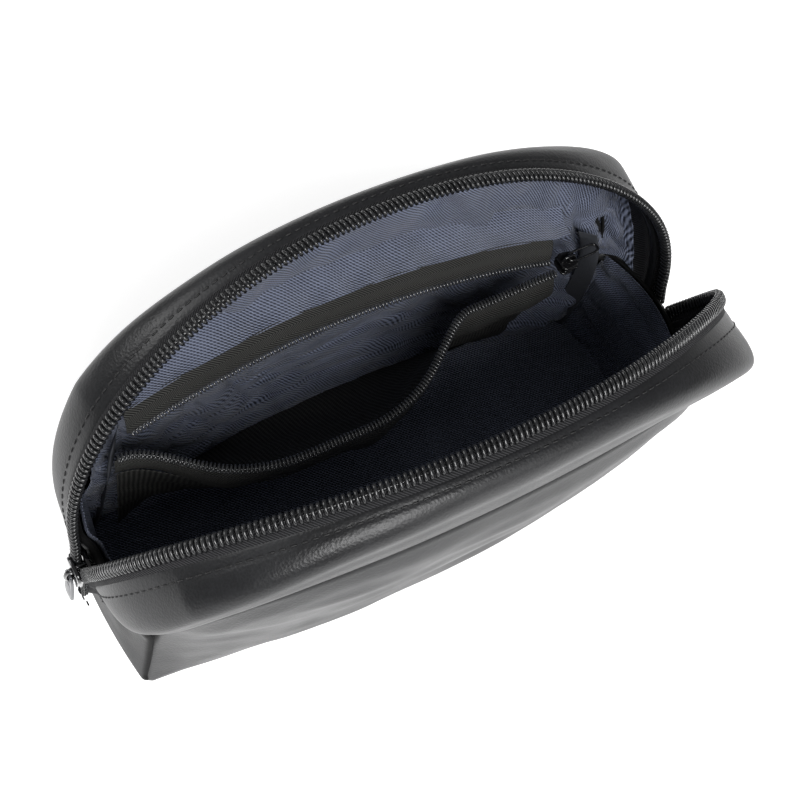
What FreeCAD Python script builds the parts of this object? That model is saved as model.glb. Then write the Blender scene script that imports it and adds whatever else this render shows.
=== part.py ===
import FreeCAD, Part
import Sketcher
import math
import os

V = FreeCAD.Vector
doc = FreeCAD.newDocument("cable_pouch")

# Driving dimensions, millimetres and degrees.
SIZES = {
    "zip_half_length": 115.0,     # mouth centre to a zipper end, along X
    "zip_end_height": 50.0,       # zipper ends above the table
    "lip_rise": 90.0,             # zipper ends to the top of a lip, in the lip's plane
    "lip_tilt": 18.0,             # each lip leans out by this angle
    "lip_bow": 10.0,              # extra outward bow at the middle of a lip
    "lip_power": 2.36,            # roundness of the lip's corners
    "lip_flare": 0.023,           # sideways swell of the lips
    "front_flare": 0.05,          # extra swell of the front lip's right corner
    "lip_gap": 2.3,               # chain centre off the mid plane at the zipper ends
    "zip_start": 8.5,             # open chain starts this far above a zipper end
    "chain_wide": 4.0,
    "chain_thick": 2.6,
    "tape_reach": 4.6,            # chain centre to the leather's folded edge
    "tape_thick": 0.6,
    "leather": 1.4,
    "foam": 2.4,
    "lining": 0.5,
    "layer_gap": 0.3,
    "base_half_length": 109.0,
    "base_half_depth": 38.0,
    "corner_half_depth": 34.0,
    "belly_half_depth": 48.5,     # the walls' bulge at the zipper ends' height
    "seam_half_length": 104.0,
    "seam_rise": 56.0,            # zipper ends' height to the panel's top seam
    "seam_half_depth": 51.5,
    "corner_depth_top": 29.5,
    "fold_reach": 14.5,           # chain to the band's rolled edge at mid length
    "corner_reach": 9.0,          # extra reach at the lips' corners
    "fold_lift": 2.0,
    "corner_lift": 5.0,
    "end_bulge": 8.0,             # end gusset's middle beyond its corners
    "base_radius": 6.0,
    "split_gap": 0.35,
    "edge_lift": 0.5,             # the walls' lower edges clear the table
    "pocket_left": 96.0,          # mid plane to the pocket zipper's left end
    "pocket_right": 75.0,
    "pocket_mouth_middle": -28.0, # the droop of the front half is off centre
    "pocket_mouth_half": 66.0,
    "pocket_depth": 24.0,         # pocket zipper's ends behind the mid plane
    "pocket_height": 75.0,
    "pocket_back_bow": 7.0,
    "pocket_back_lift": 9.0,
    "pocket_front_bow": 24.0,
    "pocket_floor": 12.0,
    "pocket_chain_wide": 2.8,
    "pocket_chain_thick": 1.8,
    "pocket_tape_wide": 10.0,
    "mesh_thick": 0.7,
    "tail_long": 20.0,            # closed zipper below each zipper end
    "tail_off": 1.6,              # tail's middle layer beyond the zipper ends
    "tail_chain_wide": 2.2,
    "tail_slit": 2.0,
    "tail_tape_wide": 6.6,
    "slider_wide": 9.6,
    "slider_long": 11.0,
    "slider_plate": 1.3,
    "slider_play": 0.4,
    "post_wide": 1.2,
    "bail_high": 2.0,
    "bail_bar": 1.2,
    "puller_long": 24.0,
    "puller_wide": 5.6,
    "puller_bar": 1.1,
    "puller_window": 2.6,
    "small_slider": 7.0,
    "small_puller_long": 13.0,
    "board_long": 186.0,
    "board_wide": 54.0,
    "board_thick": 1.5,
    "board_corner": 8.0,
}

sheet = doc.addObject("Spreadsheet::Sheet", "sizes")
for row, (alias, value) in enumerate(SIZES.items(), start=1):
    sheet.set("A%d" % row, alias)
    sheet.set("B%d" % row, str(value))
    sheet.setAlias("B%d" % row, alias)
doc.recompute()


def size(alias):
    return float(sheet.get(alias))


A = size("zip_half_length")
ZE = size("zip_end_height")
RISE = size("lip_rise")
TILT = math.radians(size("lip_tilt"))
GAP = size("split_gap")
LEATHER = size("leather")
LAYER = size("layer_gap")
FOAM_IN = LEATHER + LAYER
LINING_IN = FOAM_IN + size("foam") + LAYER
nodes = []


def superellipse(t, power):
    """Unit superellipse from left end (t=0) to right end (t=pi)."""
    c = math.cos(t)
    along = math.copysign(abs(c) ** (2 / power), c)
    return -along, max(math.sin(t), 0.0) ** (2 / power)


def lip_normal(side):
    """Unit vector away from the mouth, square to the lip's plane."""
    return V(0, side * math.cos(TILT), -math.sin(TILT))


def lip_point(side, t):
    """Centre of one zipper half; side is +1 for the back lip and -1 for the front."""
    along, up = superellipse(t, size("lip_power"))
    swell = size("lip_flare")
    if side < 0 and along > 0:
        swell += size("front_flare") * along
    x = A * along * (1 + 4 * swell * up * (1 - up))
    w = RISE * up
    bow = size("lip_bow") * max(1 - (x / A) ** 2, 0.0) * up
    y = size("lip_gap") + w * math.sin(TILT) + bow
    return V(x, side * y, ZE + w * math.cos(TILT))


def zip_limit():
    """Parameter where the open chain starts above the zipper end."""
    target = size("zip_start") / RISE
    low, high = 0.0, math.pi / 2
    for _ in range(40):
        mid = (low + high) / 2
        if superellipse(mid, size("lip_power"))[1] < target:
            low = mid
        else:
            high = mid
    return high


T_START = zip_limit()


def steps(start, end, count):
    return [start + (end - start) * i / (count - 1) for i in range(count)]


def lip_out(side, t):
    """Unit vector in the lip's plane, square to the zipper, away from the hinge line."""
    d = 0.004
    before = max(t - d, 0.0)
    after = min(t + d, math.pi)
    tangent = lip_point(side, after) - lip_point(side, before)
    tangent.normalize()
    out = tangent.cross(lip_normal(side)) * (1 if side > 0 else -1)
    out.normalize()
    return out


def seam_point(side, t):
    """Seam between a main panel and its band."""
    along, up = superellipse(t, 2.8)
    x = size("seam_half_length") * along
    grow = size("seam_half_depth") - size("corner_depth_top")
    y = size("corner_depth_top") + grow * up * (1 - 0.25 * along ** 2)
    return V(x, side * y, ZE + GAP + 3.0 + (size("seam_rise") - 3.0) * up)


def split_depth(x):
    """Half depth of the walls at the height of the zipper ends."""
    u = min(abs(x) / size("seam_half_length"), 1.0)
    grow = size("belly_half_depth") - size("corner_depth_top")
    return size("corner_depth_top") + grow * (1 - u ** 2.6)


def base_depth(x):
    u = min(abs(x) / size("base_half_length"), 1.0)
    grow = size("base_half_depth") - size("corner_half_depth")
    return size("corner_half_depth") + grow * (1 - u * u)


def lower_wall(side, u, v):
    """Main panel below the zipper ends; u runs along X and v runs up."""
    z = size("edge_lift") + v * (ZE - GAP - size("edge_lift"))
    half = size("base_half_length") + v * (size("seam_half_length") - size("base_half_length"))
    radius = size("base_radius")
    if z < radius:
        half -= radius - math.sqrt(radius ** 2 - (radius - z) ** 2)
    x = half * u
    rise = math.sin(v * math.pi / 2)
    y = base_depth(x) + (split_depth(x) - base_depth(x)) * rise
    return V(x, side * y, z)


def upper_wall(side, t, v):
    """Main panel above the zipper ends, up to its seam."""
    top = seam_point(side, t)
    low = V(top.x, side * split_depth(top.x), ZE + GAP)
    bulge = 1.6 * math.sin(v * math.pi) * math.sin(t)
    return low + (top - low) * v + V(0, side * bulge, 0)


def band_point(side, t, v):
    """Band from the panel seam (v=0) over its rolled edge to the zipper (v=1)."""
    seam = seam_point(side, t)
    up = superellipse(t, size("lip_power"))[1]
    edge = lip_point(side, t) + lip_normal(side) * size("tape_reach")
    edge.z = max(edge.z, ZE + GAP)
    corner = 4 * up * (1 - up)
    reach = size("fold_reach") + size("corner_reach") * corner
    lift = size("fold_lift") + size("corner_lift") * corner
    middle = lip_point(side, t) + lip_normal(side) * reach + lip_out(side, t) * lift
    low_end = V(edge.x * 0.985, side * (edge.y * side + 15.0), ZE + GAP + 3.5)
    fold = low_end + (middle - low_end) * min(up * 1.6, 1.0)
    p1 = edge + (fold - edge) * 0.8
    p2 = seam + (fold - seam) * 0.8
    a = 1 - v
    return seam * a ** 3 + p2 * (3 * a * a * v) + p1 * (3 * a * v * v) + edge * v ** 3


def offset_grid(grid, inward, depth):
    """Copy of a point grid moved along its own normals towards a point inside the pouch."""
    rows = len(grid)
    cols = len(grid[0])
    out = []
    for i in range(rows):
        line = []
        for j in range(cols):
            du = grid[min(i + 1, rows - 1)][j] - grid[max(i - 1, 0)][j]
            dv = grid[i][min(j + 1, cols - 1)] - grid[i][max(j - 1, 0)]
            normal = du.cross(dv)
            normal.normalize()
            if normal.dot(inward - grid[i][j]) < 0:
                normal = normal * -1
            line.append(grid[i][j] + normal * depth)
        out.append(line)
    return out


def skin(grid):
    surface = Part.BSplineSurface()
    surface.interpolate(grid)
    return surface


def borders(surface):
    u0, u1, v0, v1 = surface.bounds()
    return [surface.uIso(u0).toShape(), surface.uIso(u1).toShape(),
            surface.vIso(v0).toShape(), surface.vIso(v1).toShape()]


def slab(outer, inner):
    """Closed solid between two matching point grids."""
    first = skin(outer)
    second = skin(inner)
    faces = [first.toShape(), second.toShape()]
    for one, two in zip(borders(first), borders(second)):
        faces.append(Part.makeRuledSurface(one, two))
    shell = Part.makeShell(faces)
    shell.sewShape()
    solid = Part.makeSolid(Part.Shell(shell.Faces))
    if solid.Volume < 0:
        solid.reverse()
    return solid


def add_shape(label, shape):
    """Sub-part whose shape comes from surfaces through computed points."""
    item = doc.addObject("Part::Feature", label)
    item.Shape = shape
    item.Label = label
    item.Placement = FreeCAD.Placement()
    nodes.append(item)
    return item


def layer(label, grid, inward, near, far):
    outer = offset_grid(grid, inward, near) if near > 0 else grid
    return add_shape(label, slab(outer, offset_grid(grid, inward, far)))


def swept_strip(label, centres, wide_axes, thick_axes, wide, thick):
    """Rectangular strip whose corners follow the centre points."""
    outer = []
    inner = []
    for p, w, k in zip(centres, wide_axes, thick_axes):
        outer.append([p - w * (wide / 2) + k * (thick / 2), p + k * (thick / 2),
                      p + w * (wide / 2) + k * (thick / 2)])
        inner.append([p - w * (wide / 2) - k * (thick / 2), p - k * (thick / 2),
                      p + w * (wide / 2) - k * (thick / 2)])
    return add_shape(label, slab(outer, inner))


CORE = V(0, 0, ZE)


def build_lip(side, word):
    """Everything that swings with one lip of the mouth."""
    columns = steps(0.03, math.pi - 0.03, 41)
    wall = [[upper_wall(side, t, v) for v in steps(0.0, 1.0, 7)] for t in columns]
    layer(word + "_panel_upper", wall, CORE, 0.0, LEATHER)
    inner_columns = steps(0.22, math.pi - 0.22, 35)
    core_wall = [[upper_wall(side, t, v) for v in steps(0.04, 0.94, 7)] for t in inner_columns]
    layer(word + "_foam_upper", core_wall, CORE, FOAM_IN, FOAM_IN + size("foam"))
    lining_wall = [[upper_wall(side, t, v) for v in steps(0.03, 0.97, 7)] for t in inner_columns]
    layer(word + "_lining_upper", lining_wall, CORE, LINING_IN, LINING_IN + size("lining"))
    band_columns = steps(0.0, math.pi, 61)
    band = [[band_point(side, t, v) for v in steps(0.04, 1.0, 15)] for t in band_columns]
    layer(word + "_band", band, V(0, side * 10, ZE + 10), 0.0, LEATHER)
    lined = [[band_point(side, t, v) for v in steps(0.22, 0.96, 13)]
             for t in steps(0.25, math.pi - 0.25, 55)]
    layer(word + "_band_lining", lined, V(0, side * 10, ZE + 10), FOAM_IN,
          FOAM_IN + size("lining"))
    ts = steps(T_START, math.pi - T_START, 81)
    outs = [lip_out(side, t) for t in ts]
    normals = [lip_normal(side)] * len(ts)
    chain = [lip_point(side, t) for t in ts]
    swept_strip(word + "_chain", chain, normals, outs, size("chain_wide"), size("chain_thick"))
    reach = size("tape_reach") - size("chain_wide") / 2 - 2 * LAYER
    middle = size("chain_wide") / 2 + LAYER + reach / 2
    tape = [p + n * middle for p, n in zip(chain, normals)]
    swept_strip(word + "_tape", tape, normals, outs, reach, size("tape_thick"))


def end_x(y, z):
    """Outer face of the end gussets: fullest on the mid plane and near the zipper ends."""
    u = min(abs(y) / size("corner_half_depth"), 1.0)
    lift = z / ZE
    corner = size("base_half_length") * (1 - lift) + size("seam_half_length") * lift
    return corner + (size("end_bulge") * lift + 2.0 * (1 - lift)) * (1 - u * u)


def gusset_point(path, v):
    """End gusset: path runs down the end and round its lower bend; v runs across."""
    depth_low = size("corner_half_depth") - 0.2
    depth_top = size("corner_depth_top") - 0.2
    radius = size("base_radius")
    top = ZE - GAP
    kind, amount = path
    if kind == "end":
        z = radius + (top - radius) * abs(amount)
        half = depth_low + (depth_top - depth_low) * z / top
        y = half * v
        return V(math.copysign(end_x(y, z), amount), y, z)
    angle = abs(amount) * math.pi / 2
    y = depth_low * v
    x = end_x(y, radius) - (radius - size("edge_lift")) * (1 - math.cos(angle))
    return V(math.copysign(x, amount), y, radius - (radius - size("edge_lift")) * math.sin(angle))


def end_path(sign):
    """Rows from an end gusset's top down and round to the edge of the base."""
    end = [("end", sign * s) for s in steps(1.0, 0.08, 7)]
    turn = [("turn", sign * s) for s in steps(0.0001, 0.96, 10)]
    return end + turn


def base_sheet(inset, low, high):
    """Flat sheet of the base with the walls' gentle outward curve along its long edges."""
    reach = size("base_half_length") - size("base_radius") - inset
    xs = steps(-reach, reach, 13)
    edges = []
    for side in (-1, 1):
        points = [V(x, side * (base_depth(x) - 1.9 - inset), low) for x in xs]
        curve = Part.BSplineCurve()
        curve.interpolate(points)
        edges.append((curve.toShape(), points))
    (front, front_points), (back, back_points) = edges
    left = Part.LineSegment(front_points[0], back_points[0]).toShape()
    right = Part.LineSegment(front_points[-1], back_points[-1]).toShape()
    outline = Part.Wire(Part.__sortEdges__([front, right, back, left]))
    return Part.Face(outline).extrude(V(0, 0, high - low))


def build_body():
    """Lower half of the pouch, which stands still."""
    us = steps(-1.0, 1.0, 31)
    vs = [0.0, 0.03, 0.07, 0.13, 0.21, 0.31, 0.43, 0.56, 0.7, 0.85, 1.0]
    for side, word in ((-1, "front"), (1, "back")):
        wall = [[lower_wall(side, u, v) for v in vs] for u in us]
        layer(word + "_panel_lower", wall, V(0, 0, 25), 0.0, LEATHER)
        inner = [[lower_wall(side, u, v) for v in steps(0.12, 0.98, 8)]
                 for u in steps(-0.93, 0.93, 27)]
        layer(word + "_foam_lower", inner, V(0, 0, 25), FOAM_IN, FOAM_IN + size("foam"))
        layer(word + "_lining_lower", inner, V(0, 0, 25), LINING_IN,
              LINING_IN + size("lining"))
    for sign, word in ((-1, "left"), (1, "right")):
        path = end_path(sign)
        strip = [[gusset_point(p, v) for v in steps(-0.95, 0.95, 11)] for p in path]
        layer(word + "_end_gusset", strip, V(0, 0, 30), 0.0, LEATHER)
        liner = [[gusset_point(p, v) for v in steps(-0.84, 0.84, 11)] for p in path[:11]]
        layer(word + "_end_lining", liner, V(0, 0, 30), LEATHER + 2.4,
              LEATHER + 2.4 + size("lining"))
    add_shape("base_gusset", base_sheet(0.0, 0.0, LEATHER))
    over_board = LEATHER + 2 * LAYER + size("board_thick")
    add_shape("base_lining", base_sheet(5.0, over_board, over_board + size("lining")))


def box(label, lengths, corner):
    """Part::Box whose three lengths are expressions over the sheet."""
    item = doc.addObject("Part::Box", label)
    for prop, text in zip(("Length", "Width", "Height"), lengths):
        item.setExpression(prop, text)
    item.Placement = FreeCAD.Placement(corner, FreeCAD.Rotation())
    return item


def keep(item, label):
    item.Label = label
    nodes.append(item)
    return item


def fuse(label, items):
    item = doc.addObject("Part::MultiFuse", label)
    item.Shapes = items
    item.Refine = True
    return keep(item, label)


def rectangle(body, name, centre_y, wide, high):
    """Sketch of a rectangle on the body's XY plane, centred on its Y axis."""
    plane = [f for f in body.Origin.OriginFeatures if f.Role == "XY_Plane"][0]
    sketch = body.newObject("Sketcher::SketchObject", name)
    sketch.AttachmentSupport = [(plane, "")]
    sketch.MapMode = "FlatFace"
    corners = [V(-5, -5, 0), V(5, -5, 0), V(5, 5, 0), V(-5, 5, 0)]
    for i in range(4):
        sketch.addGeometry(Part.LineSegment(corners[i], corners[(i + 1) % 4]), False)
    for i in range(4):
        sketch.addConstraint(Sketcher.Constraint("Coincident", i, 2, (i + 1) % 4, 1))
    for i, kind in enumerate(("Horizontal", "Vertical", "Horizontal", "Vertical")):
        sketch.addConstraint(Sketcher.Constraint(kind, i))
    across = sketch.addConstraint(Sketcher.Constraint("DistanceX", 0, 1, 0, 2, 10.0))
    up = sketch.addConstraint(Sketcher.Constraint("DistanceY", 1, 1, 1, 2, 10.0))
    left = sketch.addConstraint(Sketcher.Constraint("DistanceX", 0, 1, -1, 1, 5.0))
    top = sketch.addConstraint(Sketcher.Constraint("DistanceY", -1, 1, 2, 1, 5.0))
    sketch.setExpression("Constraints[%d]" % across, wide)
    sketch.setExpression("Constraints[%d]" % up, high)
    sketch.setExpression("Constraints[%d]" % left, "(%s) / 2" % wide)
    sketch.setExpression("Constraints[%d]" % top, "(%s) + (%s) / 2" % (centre_y, high))
    return sketch


def plate(label, wide, high, thick, centre_y, corner):
    """Flat body with rounded upright edges."""
    body = doc.addObject("PartDesign::Body", label)
    pad = body.newObject("PartDesign::Pad", label + "_pad")
    pad.Profile = rectangle(body, label + "_outline", centre_y, wide, high)
    pad.setExpression("Length", thick)
    pad.Midplane = True
    doc.recompute()
    upright = []
    for i, edge in enumerate(pad.Shape.Edges, start=1):
        first, last = edge.Vertexes[0].Point, edge.Vertexes[-1].Point
        if abs(first.z - last.z) > 0.01:
            upright.append("Edge%d" % i)
    rounds = body.newObject("PartDesign::Fillet", label + "_rounds")
    rounds.Base = (pad, upright)
    rounds.setExpression("Radius", corner)
    doc.recompute()
    return body


def cut_window(body, centre_y, wide, high):
    """Rectangular window through a plate, checked by volume."""
    before = body.Shape.Volume
    pocket = body.newObject("PartDesign::Pocket", body.Name + "_window")
    pocket.Profile = rectangle(body, body.Name + "_opening", centre_y, wide, high)
    pocket.Type = 1
    pocket.Midplane = True
    doc.recompute()
    if body.Shape.Volume > before - 0.5:
        raise RuntimeError("window cut nothing")


SIDEWAYS = FreeCAD.Rotation(V(0, 1, 0), V(0, 0, 1), V(1, 0, 0), "XYZ")
TAIL_X = A + size("tail_off")
SIZES_TEXT = "<<sizes>>."


def cell(alias):
    return SIZES_TEXT + alias


def build_slider():
    """Main slider at the left end, with its bridge for the puller."""
    long = size("slider_long")
    wide = size("slider_wide")
    skin_t = size("slider_plate")
    room = size("chain_thick") / 2 + size("slider_play")
    x0 = -TAIL_X
    z0 = ZE - long / 2
    full = [cell("slider_plate"), cell("slider_wide"), cell("slider_long")]
    parts = [box("outer_plate", full, V(x0 - room - skin_t, -wide / 2, z0)),
             box("inner_plate", full, V(x0 + room, -wide / 2, z0))]
    rim = [cell("chain_thick") + " / 2 + " + cell("slider_play") + " - 0.6",
           cell("slider_plate"), cell("slider_long")]
    for i, y in enumerate((-wide / 2, wide / 2 - skin_t)):
        parts.append(box("outer_rim_%d" % i, rim, V(x0 - room, y, z0)))
        parts.append(box("inner_rim_%d" % i, rim, V(x0 + 0.6, y, z0)))
    post = [cell("chain_thick") + " + 2 * " + cell("slider_play"), cell("post_wide"), "3.5"]
    parts.append(box("post", post, V(x0 - room, -size("post_wide") / 2, ZE + long / 2 - 3.5)))
    face = x0 - room - skin_t
    bar = size("bail_bar")
    high = size("bail_high")
    thin = "1.8"
    legs = [cell("bail_high") + " + " + cell("bail_bar"), thin, "1.6"]
    parts.append(box("bail_low", legs, V(face - high - bar, -0.9, ZE - 4.0)))
    parts.append(box("bail_top", legs, V(face - high - bar, -0.9, ZE + 2.4)))
    parts.append(box("bail_bridge", [cell("bail_bar"), thin, "8"],
                     V(face - high - bar, -0.9, ZE - 4.0)))
    fuse("main_slider", parts)
    puller = plate("main_puller", cell("puller_wide"), cell("puller_long"),
                   cell("puller_bar"), "%s / 2 - %s / 2" % (cell("puller_bar"), cell("puller_long")),
                   "1.2")
    cut_window(puller, "-%s / 2 - 2.5" % cell("puller_bar"), cell("puller_window"), "5")
    puller.Placement = FreeCAD.Placement(V(face - high / 2, 0, ZE), SIDEWAYS)
    keep(puller, "main_puller")


def build_tail(word, sign):
    """Closed end of the main zipper, sewn down the outside of an end gusset."""
    long = size("tail_long")
    top = ZE - 1.0
    thick = size("chain_thick")
    wide = size("tail_chain_wide")
    inner = size("tail_slit") / 2
    x = sign * TAIL_X
    sizes = [cell("chain_thick"), cell("tail_chain_wide"), cell("tail_long")]
    strip = [cell("tape_thick"), cell("tail_tape_wide"), cell("tail_long")]
    for name, low, low_tape in (("front", -inner - wide, -inner - wide - 0.1 -
                                 size("tail_tape_wide")),
                                ("back", inner, inner + wide + 0.1)):
        keep(box("%s_tail_chain_%s" % (word, name), sizes, V(x - thick / 2, low, top - long)),
             "%s_tail_chain_%s" % (word, name))
        keep(box("%s_tail_tape_%s" % (word, name), strip,
                 V(x - size("tape_thick") / 2, low_tape, top - long)),
             "%s_tail_tape_%s" % (word, name))


def pocket_point(front, u):
    """Pocket zipper half; u runs from -1 at the left end to +1 at the slider."""
    middle = (size("pocket_right") - size("pocket_left")) / 2
    x = middle + u * (size("pocket_right") + size("pocket_left")) / 2
    lens = 1 - u * u
    if front:
        w = min(abs(x - size("pocket_mouth_middle")) / size("pocket_mouth_half"), 1.0)
        droop = 0.5 + 0.5 * math.cos(math.pi * w ** 1.8)
        return V(x, size("pocket_depth") - 3.2 - size("pocket_front_bow") * droop,
                 size("pocket_height"))
    return V(x, size("pocket_depth") + 1.2 + size("pocket_back_bow") * lens,
             size("pocket_height") + size("pocket_back_lift") * lens)


def build_pocket():
    """Zipped pocket hanging on the back wall's lining."""
    us = steps(-0.98, 0.96, 41)
    back_places = steps(-0.9, 0.96, 41)
    for word, front, places in (("back", False, back_places), ("front", True, us)):
        line = [pocket_point(front, u) for u in places]
        up = [V(0, 0, 1)] * len(us)
        across = [V(0, 1, 0)] * len(us)
        swept_strip("pocket_chain_" + word, line, across, up,
                    size("pocket_chain_wide"), size("pocket_chain_thick"))
    tape = size("pocket_tape_wide")
    drop = size("pocket_chain_thick") / 2 + LAYER + tape / 2
    hang = [pocket_point(True, u) + V(0, 0, -drop) for u in us]
    swept_strip("pocket_tape_front", hang, [V(0, 0, 1)] * len(us), [V(0, 1, 0)] * len(us),
                tape, size("tape_thick"))
    rise = [pocket_point(False, u) + V(0, 0.4, 3.9) for u in back_places]
    swept_strip("pocket_tape_back", rise, [V(0, 0, 1)] * len(us), [V(0, 1, 0)] * len(us),
                5.0, size("tape_thick"))
    top_z = size("pocket_height") - 2 * drop + size("pocket_chain_thick") / 2
    mesh = []
    for u in us:
        top = pocket_point(True, u)
        top.z = top_z - 0.4
        low = V(top.x * 0.98, split_depth(top.x) - 12.5, size("pocket_floor"))
        row = []
        for v in steps(0.0, 1.0, 7):
            point = low + (top - low) * v
            point.y -= 5.0 * math.sin(v * math.pi) * (1 - u * u)
            row.append(point)
        mesh.append(row)
    layer("pocket_mesh", mesh, V(-9, 4000, 70), 0.0, size("mesh_thick"))


def build_small_slider():
    """Pocket slider at the right end of its zipper."""
    right = size("pocket_right")
    depth = size("pocket_depth") - 1.0
    level = size("pocket_height")
    body = [cell("small_slider"), cell("small_slider"), "1"]
    parts = [box("small_low", body, V(right, depth - 3.5, level - 2.2)),
             box("small_high", body, V(right, depth - 3.5, level + 1.2)),
             box("small_post", [cell("small_slider") + " - 2", "1.2", "3.6"],
                 V(right + 1, depth - 0.6, level - 1.8))]
    parts.append(box("small_bail_a", ["1", "1.6", "2.8"], V(right + 0.8, depth - 0.8, level + 2.0)))
    parts.append(box("small_bail_b", ["1", "1.6", "2.8"], V(right + 5.2, depth - 0.8, level + 2.0)))
    parts.append(box("small_bridge", ["5.4", "1.6", "1"], V(right + 0.8, depth - 0.8, level + 4.2)))
    fuse("pocket_slider", parts)
    puller = plate("pocket_puller", "4.4", cell("small_puller_long"), "0.9",
                   "0.45 - %s / 2" % cell("small_puller_long"), "1")
    cut_window(puller, "-2.45", "2.4", "4")
    turn = FreeCAD.Rotation(V(0, 1, 0), V(-1, 0, 0), V(0, 0, 1), "XYZ")
    puller.Placement = FreeCAD.Placement(V(right + 3.5, depth, level + 3.2), turn)
    keep(puller, "pocket_puller")


def build_board():
    """Stiff board under the lining of the base."""
    body = plate("base_board", cell("board_long"), cell("board_wide"), cell("board_thick"),
                 "0", cell("board_corner"))
    lift = LEATHER + LAYER + size("board_thick") / 2
    body.Placement = FreeCAD.Placement(V(0, 0, lift), FreeCAD.Rotation())
    keep(body, "base_board")


build_lip(-1, "front")
build_lip(1, "back")
build_body()
build_board()
build_slider()
build_tail("left", -1)
build_tail("right", 1)
build_pocket()
build_small_slider()

doc.recompute()
for item in nodes:
    if "Invalid" in item.State or "Error" in item.State:
        raise RuntimeError("failed: " + item.Label)
    if item.Shape.isNull() or not item.Shape.isValid():
        raise RuntimeError("bad shape: " + item.Label)
os.makedirs("parts", exist_ok=True)
for item in nodes:
    item.Shape.exportStep("parts/%s.step" % item.Label)
    print(item.Label, round(item.Shape.Volume, 1), item.Shape.BoundBox)
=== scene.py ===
import math
import bpy
import numpy as np
from mathutils import Matrix, Vector, noise


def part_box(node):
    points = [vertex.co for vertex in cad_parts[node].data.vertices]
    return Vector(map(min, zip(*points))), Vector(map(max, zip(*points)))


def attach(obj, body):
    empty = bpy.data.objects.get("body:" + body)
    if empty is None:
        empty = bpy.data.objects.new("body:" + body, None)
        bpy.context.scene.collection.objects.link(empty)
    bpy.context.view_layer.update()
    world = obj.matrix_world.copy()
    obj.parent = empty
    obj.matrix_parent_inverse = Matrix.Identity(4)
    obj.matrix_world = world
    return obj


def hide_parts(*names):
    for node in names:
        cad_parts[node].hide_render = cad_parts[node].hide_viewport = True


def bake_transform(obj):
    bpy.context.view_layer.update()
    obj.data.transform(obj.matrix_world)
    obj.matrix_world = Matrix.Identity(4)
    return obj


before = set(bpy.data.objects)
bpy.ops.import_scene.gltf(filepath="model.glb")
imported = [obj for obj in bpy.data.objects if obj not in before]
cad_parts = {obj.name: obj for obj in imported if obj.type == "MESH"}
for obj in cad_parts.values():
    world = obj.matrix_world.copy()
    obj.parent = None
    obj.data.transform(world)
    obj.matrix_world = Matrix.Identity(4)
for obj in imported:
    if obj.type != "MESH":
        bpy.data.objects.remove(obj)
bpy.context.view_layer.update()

MM = 0.001
UP = np.array([0.0, 0.0, 1.0])

# ------ sizes, millimetres
HALF_ZIP = 115.0
HINGE_Z = 50.0
LIP_RISE = 90.0
TILT = math.radians(18.0)
LIP_BOW = 10.0
LIP_POWER = 2.36
LIP_FLARE = 0.023
FRONT_FLARE = 0.05
LIP_GAP = 2.3
TAPE_REACH = 4.6
FOLD_REACH = 14.5
CORNER_REACH = 9.0
RIGHT_REACH = 8.0
FOLD_LIFT = 2.0
CORNER_LIFT = 5.0
BASE_X = 109.0
BASE_Y = 38.0
CORNER_Y = 34.0
BELLY_Y = 48.5
SEAM_X = 104.0
SEAM_RISE = 56.0
SEAM_Y = 51.5
SEAM_POWER = 2.8
TOP_CORNER_Y = 29.5
BASE_ROUND = 6.0
END_BULGE = 8.0
EDGE_LIFT = 0.7
STITCH_SHARE = 0.915
TAPE_HALF = 9.6
TAIL_FOOT = 19.4
GUSSET_TOP = HINGE_Z + 7.0
PITCH = 1.83
TAIL_X = HALF_ZIP + 1.6
POCKET_LEFT = 96.0
POCKET_RIGHT = 75.0
POCKET_Y = 24.0
POCKET_Z = 75.0
POCKET_BACK_BOW = 7.0
POCKET_BACK_LIFT = 9.0
POCKET_FRONT_BOW = 24.0
MOUTH_MIDDLE = -28.0
MOUTH_HALF = 66.0


# ------ curves and surfaces of the pouch
def superellipse(t, power):
    c = np.cos(t)
    return -np.sign(c) * np.abs(c) ** (2 / power), np.clip(np.sin(t), 0, 1) ** (2 / power)


def smooth(value, low, high):
    s = np.clip((value - low) / (high - low), 0, 1)
    return s * s * (3 - 2 * s)


def stack(x, y, z):
    return np.stack(np.broadcast_arrays(x, y, z), axis=-1).astype(float)


def unit(a):
    return a / np.maximum(np.linalg.norm(a, axis=-1, keepdims=True), 1e-9)


def lip_normal(side):
    return np.array([0, side * math.cos(TILT), -math.sin(TILT)])


def lip_point(side, t):
    along, up = superellipse(t, LIP_POWER)
    swell = LIP_FLARE + (FRONT_FLARE * np.clip(along, 0, 1) if side < 0 else 0)
    x = HALF_ZIP * along * (1 + 4 * swell * up * (1 - up))
    w = LIP_RISE * up
    bow = LIP_BOW * np.clip(1 - (x / HALF_ZIP) ** 2, 0, 1) * up
    return stack(x, side * (LIP_GAP + w * math.sin(TILT) + bow), HINGE_Z + w * math.cos(TILT))


def lip_tangent(side, t):
    d = 0.004
    return unit(lip_point(side, np.minimum(t + d, math.pi)) - lip_point(side, np.maximum(t - d, 0)))


def lip_out(side, t):
    return unit(np.cross(lip_tangent(side, t), lip_normal(side)) * side)


def chain_line(side, t):
    """Centre of the teeth, which close on the tails at the zipper ends."""
    line = lip_point(side, t)
    near = 1 - smooth(line[..., 2], HINGE_Z, HINGE_Z + 12)
    line[..., 0] += np.copysign(TAIL_X - HALF_ZIP, line[..., 0]) * near
    return line


def seam_point(side, t):
    along, up = superellipse(t, SEAM_POWER)
    y = TOP_CORNER_Y + (SEAM_Y - TOP_CORNER_Y) * up * (1 - 0.25 * along ** 2)
    return stack(SEAM_X * along, side * y, HINGE_Z + 1.5 + (SEAM_RISE - 1.5) * up)


def split_depth(x):
    u = np.clip(np.abs(x) / SEAM_X, 0, 1)
    return TOP_CORNER_Y + (BELLY_Y - TOP_CORNER_Y) * (1 - u ** 2.6)


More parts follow.
